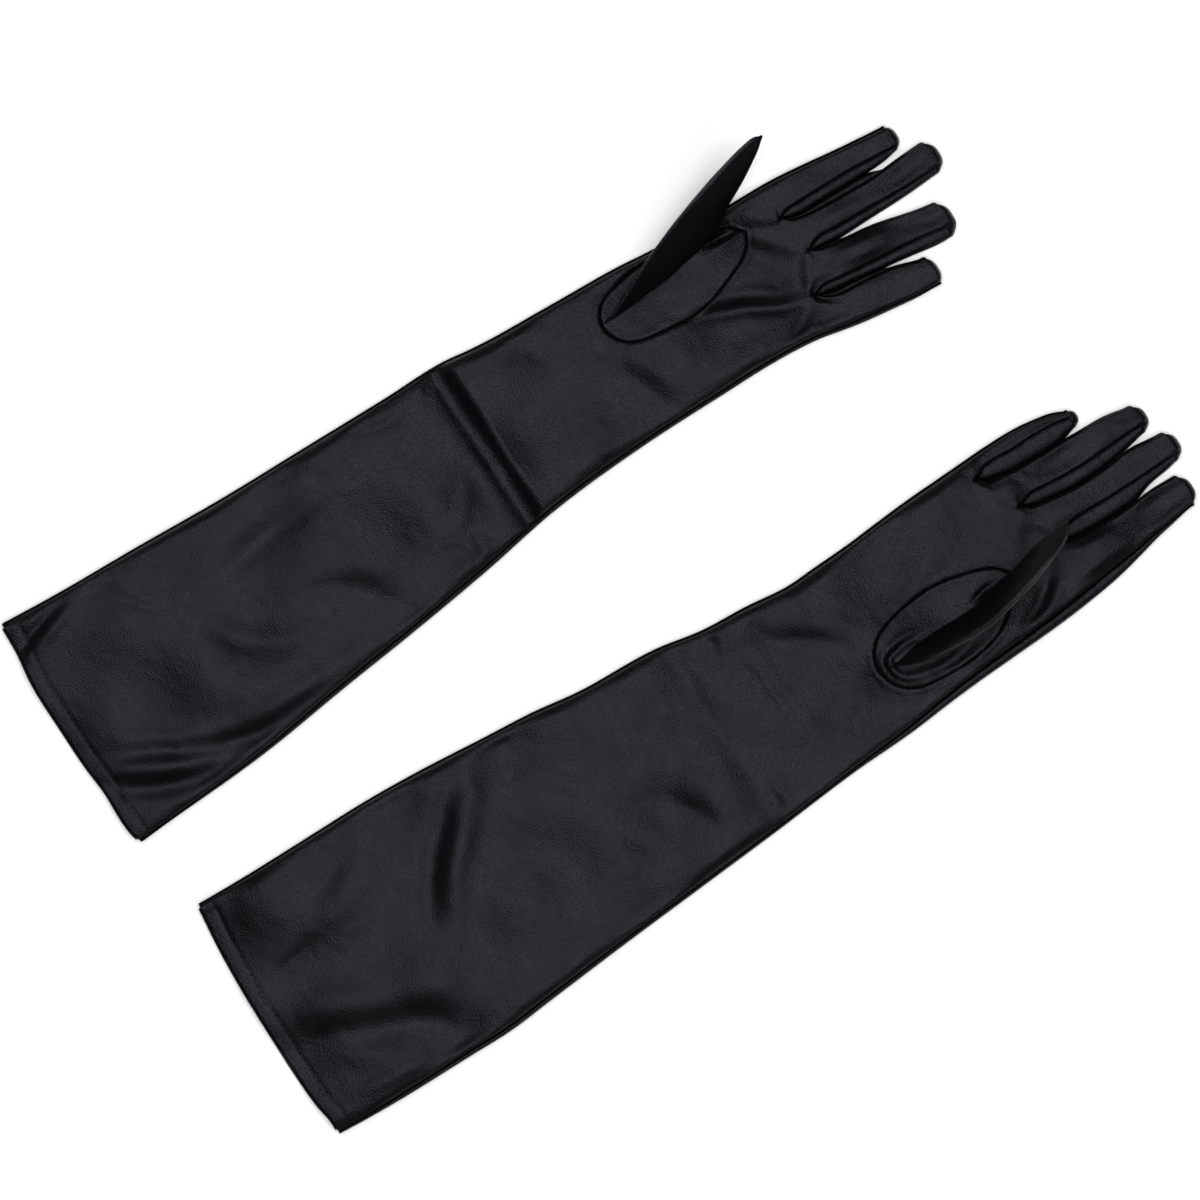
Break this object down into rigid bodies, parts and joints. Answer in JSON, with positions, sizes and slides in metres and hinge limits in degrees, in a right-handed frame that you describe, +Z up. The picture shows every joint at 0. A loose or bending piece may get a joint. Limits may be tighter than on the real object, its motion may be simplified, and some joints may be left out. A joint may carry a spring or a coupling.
{
  "type": "pair of opera gloves",
  "caption": "Pair of elbow-length opera gloves in black coated fabric, lying flat palm up, with set-in thumbs and fourchette fingers.",
  "frame": {"origin": "bottom centre of the pair's bounding box, on the surface the gloves lie on", "axes": "+X along the gloves from the cuffs to the fingertips, +Y across from the right glove to the left glove, +Z up out of the palms"},
  "size_m": [0.573, 0.3264, 0.0527],
  "materials": {
    "shell": "satin black coated fabric, fine grain",
    "fourchette": "satin black coated fabric",
    "hem": "satin black coated fabric, turned in",
    "thread": "twisted polyester sewing thread"
  },
  "bodies": {
    "left_sleeve": {"left_sleeve_palm_panel": "shell", "left_sleeve_back_panel": "shell", "left_cuff_hem": "hem", "left_hem_thread": "thread"},
    "left_hand": {"left_hand_palm_panel": "shell", "left_hand_back_panel": "shell", "left_thumb_base": "shell"},
    "left_thumb": {"left_thumb_inner_half": "shell", "left_thumb_outer_half": "shell"},
    "left_index_finger": {"left_index_palm_face": "shell", "left_index_back_face": "shell", "left_index_fourchette_little_side": "fourchette"},
    "left_middle_finger": {"left_middle_palm_face": "shell", "left_middle_back_face": "shell", "left_middle_fourchette_thumb_side": "fourchette", "left_middle_fourchette_little_side": "fourchette"},
    "left_ring_finger": {"left_ring_palm_face": "shell", "left_ring_back_face": "shell", "left_ring_fourchette_thumb_side": "fourchette", "left_ring_fourchette_little_side": "fourchette"},
    "left_little_finger": {"left_little_palm_face": "shell", "left_little_back_face": "shell", "left_little_fourchette_thumb_side": "fourchette"},
    "right_sleeve": {"right_sleeve_palm_panel": "shell", "right_sleeve_back_panel": "shell", "right_cuff_hem": "hem", "right_hem_thread": "thread"},
    "right_hand": {"right_hand_palm_panel": "shell", "right_hand_back_panel": "shell", "right_thumb_base": "shell"},
    "right_thumb": {"right_thumb_inner_half": "shell", "right_thumb_outer_half": "shell"},
    "right_index_finger": {"right_index_palm_face": "shell", "right_index_back_face": "shell", "right_index_fourchette_little_side": "fourchette"},
    "right_middle_finger": {"right_middle_palm_face": "shell", "right_middle_back_face": "shell", "right_middle_fourchette_thumb_side": "fourchette", "right_middle_fourchette_little_side": "fourchette"},
    "right_ring_finger": {"right_ring_palm_face": "shell", "right_ring_back_face": "shell", "right_ring_fourchette_thumb_side": "fourchette", "right_ring_fourchette_little_side": "fourchette"},
    "right_little_finger": {"right_little_palm_face": "shell", "right_little_back_face": "shell", "right_little_fourchette_thumb_side": "fourchette"}
  },
  "joints": [
    {"name": "left_elbow_fold", "type": "hinge", "parent": "left_sleeve", "child": "left_hand", "pos_m": [-0.01, 0.1015, 0.0092], "axis": [0, -1, 0], "range_deg": [0, 135]},
    {"name": "right_elbow_fold", "type": "hinge", "parent": "right_sleeve", "child": "right_hand", "pos_m": [0.005, -0.094, 0.0092], "axis": [0, -1, 0], "range_deg": [0, 135]},
    {"name": "left_index_flex", "type": "hinge", "parent": "left_hand", "child": "left_index_finger", "pos_m": [0.182, 0.1245, 0.00815], "axis": [0, -1, 0], "range_deg": [0, 90]},
    {"name": "left_middle_flex", "type": "hinge", "parent": "left_hand", "child": "left_middle_finger", "pos_m": [0.186, 0.1023, 0.00815], "axis": [0, -1, 0], "range_deg": [0, 90]},
    {"name": "left_ring_flex", "type": "hinge", "parent": "left_hand", "child": "left_ring_finger", "pos_m": [0.186, 0.08, 0.00815], "axis": [0, -1, 0], "range_deg": [0, 90]},
    {"name": "left_little_flex", "type": "hinge", "parent": "left_hand", "child": "left_little_finger", "pos_m": [0.176, 0.0583, 0.00815], "axis": [0, -1, 0], "range_deg": [0, 90]},
    {"name": "right_index_flex", "type": "hinge", "parent": "right_hand", "child": "right_index_finger", "pos_m": [0.215, -0.123, 0.00815], "axis": [0, -1, 0], "range_deg": [0, 90]},
    {"name": "right_middle_flex", "type": "hinge", "parent": "right_hand", "child": "right_middle_finger", "pos_m": [0.215, -0.094, 0.00815], "axis": [0, -1, 0], "range_deg": [0, 90]},
    {"name": "right_ring_flex", "type": "hinge", "parent": "right_hand", "child": "right_ring_finger", "pos_m": [0.208, -0.071, 0.00815], "axis": [0, -1, 0], "range_deg": [0, 90]},
    {"name": "right_little_flex", "type": "hinge", "parent": "right_hand", "child": "right_little_finger", "pos_m": [0.194, -0.05, 0.00815], "axis": [0, -1, 0], "range_deg": [0, 90]},
    {"name": "left_thumb_swing", "type": "hinge", "parent": "left_hand", "child": "left_thumb", "pos_m": [0.07, 0.1213, 0.0108], "axis": [-0.9952, -0.0982, 0], "range_deg": [-95, 15]},
    {"name": "right_thumb_swing", "type": "hinge", "parent": "right_hand", "child": "right_thumb", "pos_m": [0.097, -0.115, 0.0108], "axis": [0.994, 0.1096, 0], "range_deg": [-65, 45]},
    {"name": "right_glove_lift", "type": "slide", "parent": "left_sleeve", "child": "right_sleeve", "axis": [0, 0, 1], "range_m": [0, 0.15]}
  ]
}
